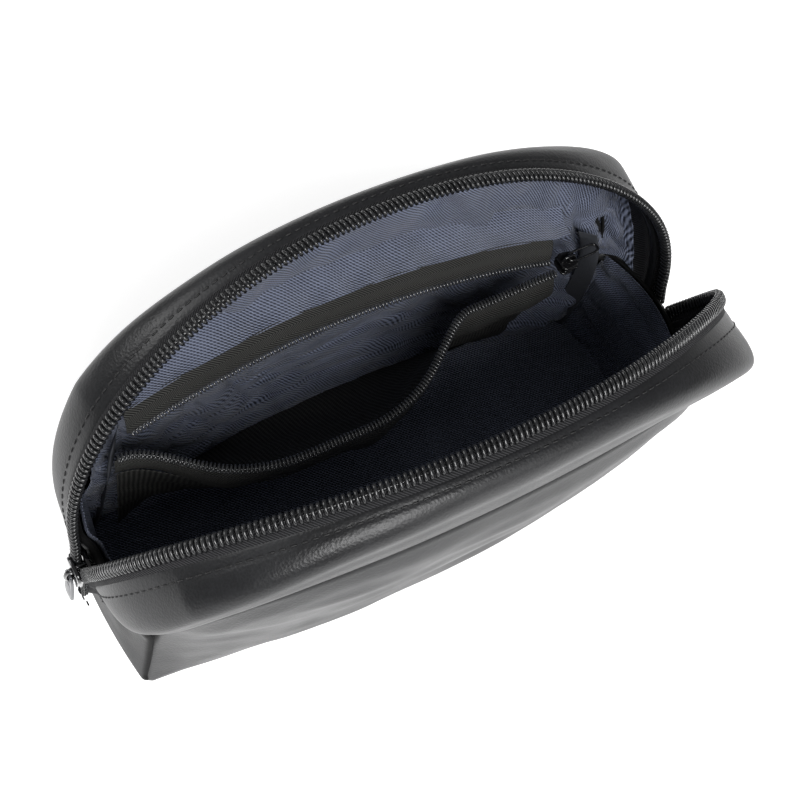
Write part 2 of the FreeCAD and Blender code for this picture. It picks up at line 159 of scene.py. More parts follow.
def base_depth(x):
    u = np.clip(np.abs(x) / BASE_X, 0, 1)
    return CORNER_Y + (BASE_Y - CORNER_Y) * (1 - u * u)


def wall_point(side, t, v):
    """Main panel: v runs from 0 at the base to 1 at the zipper ends' height and 2 at the top seam."""
    along, _ = superellipse(t, SEAM_POWER)
    low = np.clip(v, 0, 1)
    z = EDGE_LIFT + low * (HINGE_Z - EDGE_LIFT)
    dip = BASE_ROUND - np.sqrt(np.clip(BASE_ROUND ** 2 - np.clip(BASE_ROUND - z, 0, None) ** 2, 0, None))
    x = (BASE_X + low * (SEAM_X - BASE_X) - dip) * along
    y = base_depth(x) + (split_depth(x) - base_depth(x)) * np.sin(low * math.pi / 2)
    high = np.clip(v - 1, 0, 1)
    top = seam_point(side, t)
    bulge = 1.6 * np.sin(high * math.pi) * np.sin(t)
    y = y + (np.abs(top[..., 1]) - y) * high + bulge * (high > 0)
    z = z + (top[..., 2] - HINGE_Z) * high
    return stack(x + (top[..., 0] - x) * high, side * y, z)


def band_point(side, t, v):
    """Band: v runs from 0 at the panel seam over the rolled edge to 1 beside the zipper."""
    t, v = np.broadcast_arrays(t, v)
    seam = seam_point(side, t)
    along, up = (a[..., None] for a in superellipse(t, LIP_POWER))
    lip = lip_point(side, t)
    edge = lip + lip_normal(side) * TAPE_REACH
    edge[..., 2] = np.maximum(edge[..., 2], HINGE_Z + 0.4)
    corner = 4 * up * (1 - up)
    right = np.clip(along, 0, 1) * corner
    reach = FOLD_REACH + CORNER_REACH * corner + RIGHT_REACH * right
    lift = FOLD_LIFT + CORNER_LIFT * corner + 0.6 * RIGHT_REACH * right
    middle = lip + lip_normal(side) * reach + lip_out(side, t) * lift
    low_end = edge * np.array([0.985, 1, 0]) + np.array([0, side * 15.0, HINGE_Z + 3.9])
    fold = low_end + (middle - low_end) * np.clip(up * 1.6, 0, 1)
    p1 = edge + (fold - edge) * 0.8
    p2 = seam + (fold - seam) * 0.8
    a = (1 - v)[..., None]
    b = v[..., None]
    return seam * a ** 3 + p2 * (3 * a * a * b) + p1 * (3 * a * b * b) + edge * b ** 3


def band_inside(side):
    """A place that the inner face of a whole band looks towards."""
    return np.array([0, side * 8.0, HINGE_Z + 15])


def end_face(y, z):
    """Outer face of an end gusset, before its top flares out."""
    u = np.clip(np.abs(y) / CORNER_Y, 0, 1)
    lift = z / HINGE_Z
    corner = BASE_X * (1 - lift) + SEAM_X * lift
    return corner + (END_BULGE * lift + 2 * (1 - lift)) * (1 - u * u)


def end_x(y, z, sign):
    """Outer face of an end gusset; its top flares out to meet the bands, but not behind the slider."""
    u = np.clip(np.abs(y) / CORNER_Y, 0, 1)
    flare = 2.8 * smooth(z, HINGE_Z - 9, HINGE_Z) * (1 - u * u) ** 0.4
    channel = smooth(np.abs(y), 3, 9) if sign < 0 else 1.2
    return end_face(y, z) + flare * channel


def gusset_path(count_end, count_turn, count_floor):
    """(kind, amount) rows from the left end's top, under the base, to the right end's top."""
    end = [("end", s) for s in np.linspace(1.0, 0.04, count_end)]
    turn = [("turn", s) for s in np.linspace(0.0, 1.0, count_turn)]
    left = [(k, -s) for k, s in end] + [(k, -s - 1e-6) for k, s in turn]
    floor = [("floor", s) for s in np.linspace(-0.99, 0.99, count_floor)]
    right = [(k, s + 1e-6) for k, s in turn[::-1]] + end[::-1]
    return left + floor + right


def gusset_row(path, v, inset=0.0):
    """One row across the bottom gusset, v from -1 to 1; inset moves it inwards."""
    kind, amount = path
    radius = BASE_ROUND
    low_half = CORNER_Y - 0.2
    if kind == "end":
        z = radius + (GUSSET_TOP - radius) * abs(amount)
        y = (low_half + (TOP_CORNER_Y - 0.2 - low_half) * z / HINGE_Z) * v
        return stack(np.copysign(end_x(y, z, amount) - inset, amount), y, z)
    if kind == "turn":
        angle = abs(amount) * math.pi / 2
        y = low_half * v
        x = end_x(y, radius, amount) - radius + (radius - inset) * math.cos(angle)
        return stack(np.copysign(x, amount), y, radius - (radius - inset) * math.sin(angle))
    x = (BASE_X - radius + 1.0) * amount
    return stack(x, (base_depth(x) - 0.6) * v, inset)


def pocket_line(front, x):
    """Centre of a pocket zipper half at the places x."""
    middle = (POCKET_RIGHT - POCKET_LEFT) / 2
    u = (x - middle) / ((POCKET_RIGHT + POCKET_LEFT) / 2)
    lens = np.clip(1 - u * u, 0, 1)
    if front:
        w = np.clip(np.abs(x - MOUTH_MIDDLE) / MOUTH_HALF, 0, 1)
        droop = 0.5 + 0.5 * np.cos(math.pi * w ** 1.8)
        ripple = 0.7 * np.sin(x / 9.0) + 0.5 * np.sin(x / 4.7 + 1)
        return stack(x, POCKET_Y - 3.2 - POCKET_FRONT_BOW * droop, POCKET_Z + ripple * lens)
    return stack(x, POCKET_Y + 1.2 + POCKET_BACK_BOW * lens, POCKET_Z + POCKET_BACK_LIFT * lens)


def normals_of(grid, inward):
    """Unit normals of a point grid that point towards a place inside the pouch."""
    du = np.gradient(grid, axis=0)
    dv = np.gradient(grid, axis=1)
    n = unit(np.cross(du, dv))
    flip = np.sign(np.sum(n * (np.asarray(inward) - grid), axis=-1, keepdims=True))
    return n * np.where(flip == 0, 1, flip)


def clustered(low, high, count, close=2.2):
    """Parameters from low to high that crowd towards both ends."""
    s = np.linspace(-1, 1, count)
    s = np.tanh(close * s) / math.tanh(close)
    return low + (high - low) * (s + 1) / 2


def border_distance(grid, sides=("u0", "u1", "v0", "v1")):
    """Distance from each grid point to the nearest of the named borders."""
    lines = {"u0": grid[0], "u1": grid[-1], "v0": grid[:, 0], "v1": grid[:, -1]}
    best = np.full(grid.shape[:2], 1e9)
    for name in sides:
        for p in lines[name]:
            best = np.minimum(best, np.linalg.norm(grid - p, axis=-1))
    return best


def turned_in(grid, inward, radius, sides=("u0", "u1", "v0", "v1")):
    """The grid with its seamed borders rolled inwards, as a turned seam is."""
    e = np.clip(border_distance(grid, sides), 0, radius)
    drop = radius - np.sqrt(np.clip(radius ** 2 - (radius - e) ** 2, 0, None))
    return grid + normals_of(grid, inward) * drop[..., None]


def arc_uv(grid):
    """Lengths along and across a grid, in metres, used as its UVs."""
    du = np.linalg.norm(np.diff(grid, axis=0), axis=-1)
    dv = np.linalg.norm(np.diff(grid, axis=1), axis=-1)
    mid_u = du[:, du.shape[1] // 2]
    mid_v = dv[dv.shape[0] // 2]
    u = np.concatenate([[0], np.cumsum(mid_u)])
    v = np.concatenate([[0], np.cumsum(mid_v)])
    return np.stack(np.meshgrid(u, v, indexing="ij"), axis=-1) * MM


# ------ mesh making
def link(name, mesh, material):
    obj = bpy.data.objects.new(name, mesh)
    bpy.context.scene.collection.objects.link(obj)
    mesh.materials.append(material)
    mesh.polygons.foreach_set("use_smooth", [True] * len(mesh.polygons))
    return obj


def grid_piece(name, grid, material, seam=None):
    """Quad sheet through a grid of points in millimetres, with UVs in metres; seam is 1 in a seam, where the
    leather's colour gets painted shade.
    """
    rows, cols = grid.shape[:2]
    index = np.arange(rows * cols).reshape(rows, cols)
    quads = np.stack([index[:-1, :-1], index[1:, :-1], index[1:, 1:], index[:-1, 1:]], -1).reshape(-1, 4)
    mesh = bpy.data.meshes.new(name)
    mesh.from_pydata((grid.reshape(-1, 3) * MM).tolist(), [], quads.tolist())
    uv = arc_uv(grid).reshape(-1, 2)
    layer = mesh.uv_layers.new(name="UVMap")
    loops = np.zeros(len(mesh.loops), int)
    mesh.loops.foreach_get("vertex_index", loops)
    layer.data.foreach_set("uv", uv[loops].ravel())
    if seam is not None:
        mesh.attributes.new("seam", "FLOAT", "POINT").data.foreach_set("value", seam.ravel())
    return link(name, mesh, material)


def facing(obj, inward):
    """Turns a sheet's faces away from a place inside, so that thickness grows inwards."""
    mesh = obj.data
    face = mesh.polygons[len(mesh.polygons) // 2]
    if face.normal.dot(Vector(np.asarray(inward) * MM) - face.center) > 0:
        mesh.flip_normals()
    return obj


def thicken(obj, thick, levels=1, offset=-1.0):
    solid = obj.modifiers.new("thickness", "SOLIDIFY")
    solid.thickness = thick * MM
    solid.offset = offset
    if levels:
        soft = obj.modifiers.new("smooth", "SUBSURF")
        soft.levels = levels
        soft.render_levels = levels
    return obj


def merged(name, verts, faces, material):
    mesh = bpy.data.meshes.new(name)
    mesh.from_pydata((np.asarray(verts) * MM).tolist(), [], faces)
    return link(name, mesh, material)


def tube_parts(path, radius, sides=8, flat=None):
    """Vertices and faces of one capped tube along a path; flat gives the section's two axes."""
    path = np.asarray(path, float)
    tangent = unit(np.gradient(path, axis=0))
    first = np.asarray(flat if flat is not None else UP, float)
    side = unit(np.cross(tangent, np.broadcast_to(first, path.shape)))
    other = np.cross(tangent, side)
    radius = np.broadcast_to(np.asarray(radius, float), (len(path),))
    angle = np.linspace(0, 2 * math.pi, sides, endpoint=False)
    ring = (side[:, None] * np.cos(angle)[None, :, None] +
            other[:, None] * np.sin(angle)[None, :, None]) * radius[:, None, None]
    return loops_solid(path[:, None] + ring)


def loops_solid(loops, window=False):
    """Closed solid through matching loops of points; with a window the last loop meets the first."""
    count, sides = loops.shape[:2]
    faces = []
    for i in range(count if window else count - 1):
        k = (i + 1) % count
        for j in range(sides):
            n = (j + 1) % sides
            faces.append((i * sides + j, i * sides + n, k * sides + n, k * sides + j))
    if not window:
        faces.append(tuple(range(sides))[::-1])
        faces.append(tuple(range((count - 1) * sides, count * sides)))
    return loops.reshape(-1, 3), faces


def outline(wide, high, power=6.0, taper=0.0, count=40):
    """Rounded rectangle as 2-D points; taper widens its top and narrows its foot."""
    a = np.linspace(0, 2 * math.pi, count, endpoint=False)
    c, s = np.cos(a), np.sin(a)
    up = np.sign(s) * np.abs(s) ** (2 / power)
    across = np.sign(c) * np.abs(c) ** (2 / power) * (1 + taper * up)
    return np.stack([across * wide / 2, up * high / 2], -1)


def plate(centre, across, along, wide, high, thick, soft, power=6.0, taper=0.0, window=None):
    """Plate with softened edges; window is (wide, high, shift along) of a hole."""
    centre, across, along = (np.asarray(a, float) for a in (centre, across, along))
    face = np.cross(across, along)
    angles = np.linspace(-math.pi / 2, math.pi / 2, 7)
    section = [(soft * (1 - math.cos(a)), math.copysign(thick / 2 - soft, a) + soft * math.sin(a))
               for a in angles]
    flats = [(outline(wide - 2 * inset, high - 2 * inset, power, taper), level)
             for inset, level in section]
    if window:
        hole_wide, hole_high, shift = window
        for inset, level in section[::-1]:
            flat = outline(hole_wide + 2 * inset, hole_high + 2 * inset, 4.0)
            flat[:, 1] += shift
            flats.append((flat, level))
    loops = [centre + flat[:, :1] * across + flat[:, 1:] * along + face * level for flat, level in flats]
    return loops_solid(np.array(loops), bool(window))


def many(name, parts, material):
    """One object from many small (verts, faces) parts."""
    verts, faces, start = [], [], 0
    for v, f in parts:
        verts.append(v)
        faces += [tuple(i + start for i in face) for face in f]
        start += len(v)
    return merged(name, np.concatenate(verts), faces, material)


def even_stations(curve, pitch, start=0.0, end=0.0, offset=0.5):
    """Points every pitch along a dense polyline, with their parameter as a fraction index."""
    length = np.concatenate([[0], np.cumsum(np.linalg.norm(np.diff(curve, axis=0), axis=1))])
    count = int((length[-1] - start - end) / pitch)
    where = start + (np.arange(count) + offset) * pitch
    return np.interp(where, length, np.arange(len(curve)))


def at(values, where):
    """Linear look-up of rows at fractional indices."""
    low = np.clip(np.floor(where).astype(int), 0, len(values) - 2)
    f = (where - low)[:, None]
    return values[low] * (1 - f) + values[low + 1] * f


def fractal(points, scale, seed, octaves=3):
    """Smooth noise at points in millimetres."""
    out = np.empty(points.shape[:-1])
    flat = points.reshape(-1, 3) / scale + seed
    out.ravel()[:] = [noise.fractal(Vector(p), 0.9, 2.1, octaves) for p in flat]
    return out


# ------ materials
def new_material(name, color, rough, metal=0.0):
    mat = bpy.data.materials.new(name)
    mat.use_nodes = True
    tree = mat.node_tree
    shader = tree.nodes["Principled BSDF"]
    shader.inputs["Base Color"].default_value = (*color, 1)
    shader.inputs["Roughness"].default_value = rough
    shader.inputs["Metallic"].default_value = metal
    return mat, tree, shader


def node(tree, kind, **values):
    made = tree.nodes.new(kind)
    for key, value in values.items():
        if key in made.inputs:
            made.inputs[key].default_value = value
        else:
            setattr(made, key, value)
    return made


def math_node(tree, operation, a, b=None):
    made = tree.nodes.new("ShaderNodeMath")
    made.operation = operation
    for i, value in enumerate((a, b)):
        if value is None:
            continue
        if isinstance(value, (int, float)):
            made.inputs[i].default_value = value
        else:
            tree.links.new(value, made.inputs[i])
    return made.outputs[0]


def coords(tree, kind):
    return tree.nodes.new("ShaderNodeTexCoord").outputs[kind]


def bump(tree, shader, height, strength, distance, chained=None):
    made = node(tree, "ShaderNodeBump", Strength=strength, Distance=distance)
    tree.links.new(height, made.inputs["Height"])
    if chained is not None:
        tree.links.new(chained, made.inputs["Normal"])
    tree.links.new(made.outputs["Normal"], shader.inputs["Normal"])
    return made.outputs["Normal"]


def ramp(tree, factor, stops):
    made = tree.nodes.new("ShaderNodeValToRGB")
    items = made.color_ramp.elements
    while len(items) < len(stops):
        items.new(0.5)
    for item, (place, value) in zip(items, stops):
        item.position = place
        item.color = (*value, 1)
    tree.links.new(factor, made.inputs[0])
    return made.outputs[0]


def noise_tex(tree, vector, scale, detail=3.0):
    made = node(tree, "ShaderNodeTexNoise", Scale=scale, Detail=detail, Roughness=0.55)
    tree.links.new(vector, made.inputs["Vector"])
    return made.outputs["Fac"]


def blended(tree, a, share_a, b, share_b):
    """Sum of two values, each with its own weight."""
    return math_node(tree, "ADD", math_node(tree, "MULTIPLY", a, share_a),
                     math_node(tree, "MULTIPLY", b, share_b))


def ribs(tree, length, pitch):
    """Ribs from 0 to 1 along a length."""
    sine = math_node(tree, "SINE", math_node(tree, "MULTIPLY", length, 2 * math.pi / pitch))
    return math_node(tree, "ADD", math_node(tree, "MULTIPLY", sine, 0.5), 0.5)


def voronoi(tree, vector, scale):
    made = node(tree, "ShaderNodeTexVoronoi", Scale=scale)
    tree.links.new(vector, made.inputs["Vector"])
    return made.outputs["Distance"]


def leather_material(name, color, lighter, rough_low, rough_high):
    """Fine pebbled leather with rubbed, paler high spots, and painted shade darkening its colour along the
    seams.
    """
    mat, tree, shader = new_material(name, color, rough_low)
    place = coords(tree, "Object")
    pebble = voronoi(tree, place, 1150)
    fine = noise_tex(tree, place, 2200, 2.0)
    broad = noise_tex(tree, place, 38, 4.0)
    seam = node(tree, "ShaderNodeAttribute", attribute_name="seam").outputs["Fac"]
    # painted shade: the seam weight pulls the tone down towards the darkest colour along every seam; the seam
    # weight also roughens the seams
    tone = math_node(tree, "SUBTRACT", blended(tree, broad, 0.7, pebble, 0.35), seam)
    dark_grain_and_seam_shade = tuple(0.2 * c for c in color)
    tree.links.new(ramp(tree, tone, [(0.0, dark_grain_and_seam_shade), (0.3, color), (0.85, lighter)]),
                   shader.inputs["Base Color"])
    rough = ramp(tree, broad, [(0.3, (rough_low,) * 3), (0.75, (rough_high,) * 3)])
    tree.links.new(math_node(tree, "ADD", rough, math_node(tree, "MULTIPLY", seam, 0.5)),
                   shader.inputs["Roughness"])
    grain = math_node(tree, "ADD", pebble, math_node(tree, "MULTIPLY", fine, 0.6))
    first = bump(tree, shader, grain, 0.3, 0.0002)
    bump(tree, shader, noise_tex(tree, place, 160), 0.05, 0.0009, first)
    shader.inputs["Specular IOR Level"].default_value = 0.42
    return mat


def twill_material(name, dark, light, pitch=0.00125, angle=0.9):
    """Twill nylon: fine diagonal ribs crossed by threads, with a soft sheen; the ribs' colour is the weave
    pattern with painted highlights on the threads and painted shade between them.
    """
    mat, tree, shader = new_material(name, light, 0.5)
    split = tree.nodes.new("ShaderNodeSeparateXYZ")
    tree.links.new(coords(tree, "UV"), split.inputs[0])
    along, across = split.outputs[0], split.outputs[1]
    diag = math_node(tree, "ADD", along, math_node(tree, "MULTIPLY", across, angle))
    weave = blended(tree, ribs(tree, diag, pitch), 0.7, ribs(tree, across, pitch * 0.8), 0.3)
    place = coords(tree, "Object")
    spots = math_node(tree, "ADD", noise_tex(tree, place, 55), noise_tex(tree, place, 1300, 2.0))
    # painted highlight and shade: the rib pattern lightens the threads' crowns and darkens the grooves in the
    # colour, beside its real bump
    tone = blended(tree, weave, 0.75, spots, 0.32)
    tree.links.new(ramp(tree, tone, [(0.38, dark), (0.9, light)]), shader.inputs["Base Color"])
    bump(tree, shader, weave, 0.8, 0.0005)
    shader.inputs["Sheen Weight"].default_value = 0.12
    shader.inputs["Sheen Roughness"].default_value = 0.4
    return mat


def herringbone_material(name, dark, light, column=0.0028, pitch=0.0011):
    """Woven tape: chevrons of fine thread."""
    mat, tree, shader = new_material(name, dark, 0.72)
    split = tree.nodes.new("ShaderNodeSeparateXYZ")
    tree.links.new(coords(tree, "UV"), split.inputs[0])
    fold = math_node(tree, "PINGPONG", split.outputs[1], column)
    diag = math_node(tree, "ADD", split.outputs[0], math_node(tree, "MULTIPLY", fold, 1.1))
    fuzz = noise_tex(tree, coords(tree, "Object"), 1800, 2.0)
    tone = blended(tree, ribs(tree, diag, pitch), 0.75, fuzz, 0.3)
    tree.links.new(ramp(tree, tone, [(0.2, dark), (0.95, light)]), shader.inputs["Base Color"])
    bump(tree, shader, tone, 0.7, 0.0004)
    shader.inputs["Specular IOR Level"].default_value = 0.25
    return mat


def plain_material(name, color, rough, metal=0.0, grain=900.0, depth=0.0001, coat=0.0):
    """Moulded plastic, enamel or thread with slight grain and uneven gloss."""
    mat, tree, shader = new_material(name, color, rough, metal)
    place = coords(tree, "Object")
    fine = noise_tex(tree, place, grain)
    broad = noise_tex(tree, place, grain / 8)
    low = tuple(c * 0.75 for c in color)
    high = tuple(min(c * 1.35 + 0.004, 1) for c in color)
    tree.links.new(ramp(tree, broad, [(0.3, low), (0.7, high)]), shader.inputs["Base Color"])
    tree.links.new(ramp(tree, broad, [(0.3, (rough * 0.8,) * 3), (0.7, (rough * 1.2,) * 3)]),
                   shader.inputs["Roughness"])
    bump(tree, shader, fine, 0.3, depth)
    shader.inputs["Coat Weight"].default_value = coat
    return mat


LEATHER = leather_material("leather", (0.0040, 0.0041, 0.0048), (0.013, 0.0135, 0.0155), 0.34, 0.46)
LEATHER_END = leather_material("leather_end", (0.005, 0.0052, 0.0058), (0.017, 0.0175, 0.020),
                               0.50, 0.62)
TWILL = twill_material("lining_twill", (0.004, 0.006, 0.013), (0.19, 0.215, 0.30))
TAPE = herringbone_material("zip_tape", (0.003, 0.003, 0.004), (0.040, 0.040, 0.043))
POCKET_TAPE = herringbone_material("pocket_tape", (0.004, 0.004, 0.004), (0.075, 0.075, 0.070), 0.0034)
COIL = plain_material("coil_nylon", (0.010, 0.0105, 0.0115), 0.24, grain=1500, coat=0.3)
# the pocket coils' black nylon is painted lighter than the main coils' as a painted highlight on each loop;
# their low roughness and coat give real gloss
FINE_COIL_PAINTED_GLINT = plain_material("fine_coil_nylon_painted_glint", (0.035, 0.036, 0.038), 0.16, grain=1500, coat=0.8)
THREAD = plain_material("thread", (0.003, 0.003, 0.0035), 0.55, grain=4000)
ENAMEL = plain_material("black_enamel", (0.006, 0.006, 0.007), 0.12, 0.3, 700, 0.00004, 0.7)
GUNMETAL = plain_material("puller_grey", (0.10, 0.102, 0.11), 0.34, 0.7, 900, 0.00004)
BINDING = herringbone_material("binding", (0.014, 0.016, 0.020), (0.11, 0.115, 0.13), 0.002, 0.0012)
RIBBING = herringbone_material("pocket_ribbing", (0.005, 0.005, 0.005), (0.060, 0.060, 0.056),
                               0.0006, 0.0016)
BOARD = plain_material("board_plastic", (0.05, 0.05, 0.055), 0.6, grain=300)


# ------ leather
def lip_piece(obj):
    """Bakes a piece's placement into its mesh."""
    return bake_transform(obj)


def leather_panel(side, word):
    t = clustered(0.0, math.pi, 130, 1.6)[:, None]
    v = clustered(0.0, 2.0, 76, 1.7)[None, :]
    grid = wall_point(side, t, v)
    inside = np.array([0, 0, 45.0])
    n = normals_of(grid, inside)
    edge = border_distance(grid)
    free = np.clip(edge / 22.0, 0, 1)
    ripple = fractal(grid * np.array([1, 1, 2.2]), 46.0, 3.1 + side, 2) * 1.1
    slant = grid[..., 2] - 0.16 * grid[..., 0] + 4 * fractal(grid, 60.0, 9.4 + side, 2)
    folds = 0.5 * np.sin(slant / 4.2) * smooth(grid[..., 2], 45, 95)
    fine = fractal(grid, 13.0, 7.7 + side, 2) * 0.2
    grid = grid - n * ((ripple + fine + folds) * free + 2.2 * smooth(edge, 0, 13))[..., None]
    grid = turned_in(grid, inside, 3.2)
    # seam weights, 1 at the panel's borders, paint shade into the leather's colour along its seams
    obj = facing(grid_piece(word + "_panel", grid, LEATHER, np.exp(-(edge / 1.1) ** 2)), inside)
    thicken(obj, 1.3)
    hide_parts(word + "_panel_upper", word + "_panel_lower", word + "_foam_upper",
                word + "_foam_lower")
    return lip_piece(obj)


def hem(surface, away, angle, back):
    """Rows of a band's hem, rolled under beside the zipper from the surface's last column."""
    edge = surface[:, -1]
    toward = unit(edge - surface[:, -4])
    radius = 0.95
    rolled = toward * (radius * math.sin(angle) - back) - away * radius * (1 - math.cos(angle))
    return edge + rolled


def leather_band(side, word):
    """Band with its soft dent, pressed line beside the stitches and rolled hem."""
    t = clustered(0.0, math.pi, 220, 1.0)[:, None]
    share = np.concatenate([[0.0, 0.012, 0.03, 0.055], np.linspace(0.09, 0.985, 26), [1.0]])[None, :]
    inside = band_inside(side)
    body = band_point(side, t, share)
    n = normals_of(body, inside)
    free = np.clip(border_distance(body) / 9.0, 0, 1)
    ripple = fractal(body, 34.0, 11.3 + side, 1) * 0.6
    wander = 0.05 * fractal(body, 70.0, 17.0 + side, 1)
    crease = np.exp(-((share - 0.3 - wander) / 0.09) ** 2)
    ripple = ripple - 0.8 * crease * (0.5 + fractal(body, 60.0, 19.0 + side, 1))
    free = free * smooth(0.8 - share, 0.0, 0.15)
    groove = np.exp(-((1 - share) * 37.0 - 3.0) ** 2 / 0.5) * 0.22
    body = body + n * (groove - ripple * free)[..., None]
    away = -n[:, -4]
    turns = [(angle, 0.0) for angle in np.linspace(0.2, 1.0, 5) * math.pi] + [(math.pi, 2.4)]
    rows = [hem(body, away, angle, back) for angle, back in turns]
    grid = np.concatenate([body, np.stack(rows, axis=1)], axis=1)
    sewn = ("u0", "u1", "v0")
    roll = turned_in(grid, inside, 2.6, sewn)
    # seam weights along the sewn borders paint shade into the leather's colour there
    seam = np.exp(-(border_distance(grid, sewn) / 1.2) ** 2)
    obj = facing(grid_piece(word + "_band_leather", roll, LEATHER, seam), inside)
    thicken(obj, 1.1)
    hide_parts(word + "_band")
    lip_piece(obj)
    column = float(np.interp(STITCH_SHARE, share[0], np.arange(share.shape[1])))
    stitches(word, roll[:, :share.shape[1]], -normals_of(roll, inside), column)


def end_gusset():
    v = clustered(-1.0, 1.0, 40, 1.5)
    rows = np.array([gusset_row(p, v) for p in gusset_path(26, 12, 90)])
    inside = np.array([0, 0, 30.0])
    n = normals_of(rows, inside)
    free = np.clip(border_distance(rows) / 14.0, 0, 1) * (rows[..., 2] > 6)
    free = free * smooth(np.abs(rows[..., 1]), 9, 16)
    ripple = fractal(rows, 24.0, 21.7, 2) * 0.9
    rows = rows - n * (ripple * free)[..., None]
    # seam weights at the gusset's borders paint shade into the leather's colour along its seams
    seam = np.exp(-(border_distance(rows) / 1.1) ** 2)
    rows = turned_in(rows, inside, 2.2)
    rows[..., 2] = np.maximum(rows[..., 2], 0.0)
    obj = facing(grid_piece("bottom_gusset", rows, LEATHER_END, seam), inside)
    thicken(obj, 1.3)
    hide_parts("base_gusset", "left_end_gusset", "right_end_gusset")
    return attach(obj, "pouch_body")


def stitches(word, surface, away, column):
    """Black saddle stitches beside the folded edge of a band."""
    low = int(column)
    line = surface[:, low] + (surface[:, low + 1] - surface[:, low]) * (column - low)
    dense = np.linspace(0, len(line) - 1, 2000)
    line, out = at(line, dense), unit(at(away[:, low], dense))
    tangent = unit(np.gradient(line, axis=0))
    where = even_stations(line, 3.3, 2.0, 2.0)
    half = 1.25
    share = np.linspace(-1, 1, 7)
    height = 0.32 * (1 - share ** 4) - 0.18
    thick = 0.29 * np.sqrt(np.clip(1.05 - share ** 4, 0.1, 1))
    parts = []
    for p, d, n in zip(at(line, where), at(tangent, where), at(out, where)):
        parts.append(tube_parts(p + d * (half * share)[:, None] + n * height[:, None], thick, 7, n))
    obj = many(word + "_stitches", parts, THREAD)
    lip_piece(obj)


# ------ zipper
TOOTH = np.array([(2.1, 0.05), (1.7, 0.75), (0.9, 1.12), (-0.3, 1.22), (-1.4, 1.05), (-2.1, 0.35),
                  (-1.9, -0.5), (-0.9, -0.95), (0.6, -0.95), (1.9, -0.6)])
TOOTH_R = np.array([0.50, 0.58, 0.62, 0.63, 0.66, 0.70, 0.62, 0.52, 0.48, 0.44])


def tooth(centre, tangent, wide, high, scale, slant):
    """One loop of the coil: over the tape, round the head and back under it."""
    shift = np.linspace(-slant, slant, len(TOOTH))
    path = (centre + wide * (TOOTH[:, :1] * scale) + high * (TOOTH[:, 1:] * scale)
            + tangent * shift[:, None])
    return tube_parts(path, TOOTH_R * scale, 7, tangent)


def coil(name, line, tangent, wide, high, pitch, scale, material=None):
    where = even_stations(line, pitch)
    rows = zip(at(line, where), at(tangent, where), at(wide, where), at(high, where))
    parts = [tooth(p, d, w, u, scale, 0.34 * pitch) for p, d, w, u in rows]
    core = tube_parts(line[::4], 0.42 * scale, 6)
    return many(name, parts + [core], material or COIL)


def lip_start(height):
    """Parameter at which a lip is this far above the zipper ends."""
    t = np.linspace(0, 0.5, 5000)
    return float(t[np.argmax(superellipse(t, LIP_POWER)[1] * LIP_RISE > height)])


def main_chain(side, word):
    start = lip_start(1.5)
    t = np.linspace(start, math.pi - start, 1600)
    line = chain_line(side, t)
    normal = np.broadcast_to(lip_normal(side), line.shape)
    obj = coil(word + "_teeth", line, lip_tangent(side, t), normal, lip_out(side, t), PITCH, 1.0)
    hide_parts(word + "_chain")
    lip_piece(obj)


def main_tape(side, word):
    """Herringbone tape under the teeth, running on beneath the band."""
    start = lip_start(0.8)
    t = np.concatenate([np.linspace(start, 0.1, 16)[:-1], np.linspace(0.1, math.pi - 0.1, 180),
                        np.linspace(math.pi - 0.1, math.pi - start, 16)[1:]])
    reach = np.array([-1.3, 0.0, 1.5, 3.0, 4.2])
    flat = (chain_line(side, t)[:, None] + lip_normal(side) * reach[None, :, None]
            - lip_out(side, t)[:, None] * 0.25)
    v = np.array([0.93, 0.88, 0.82, 0.76, 0.70, 0.65])[None, :]
    under = band_point(side, t[:, None], v)
    inside = band_inside(side)
    under = under + normals_of(under, inside) * np.linspace(2.2, 2.7, 6)[None, :, None]
    grid = np.concatenate([flat, under], axis=1)
    obj = facing(grid_piece(word + "_tape_woven", grid, TAPE), inside)
    thicken(obj, 0.5, 1, 0.0)
    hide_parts(word + "_tape")
    cut_sheet(obj)
    lip_piece(obj)


def tail_line(z):
    """How far out the closed teeth stand: straight along the slider's run, then leaning inwards."""
    return TAIL_X + np.minimum(0, end_face(0, z) - end_face(0, HINGE_Z - 10.0))


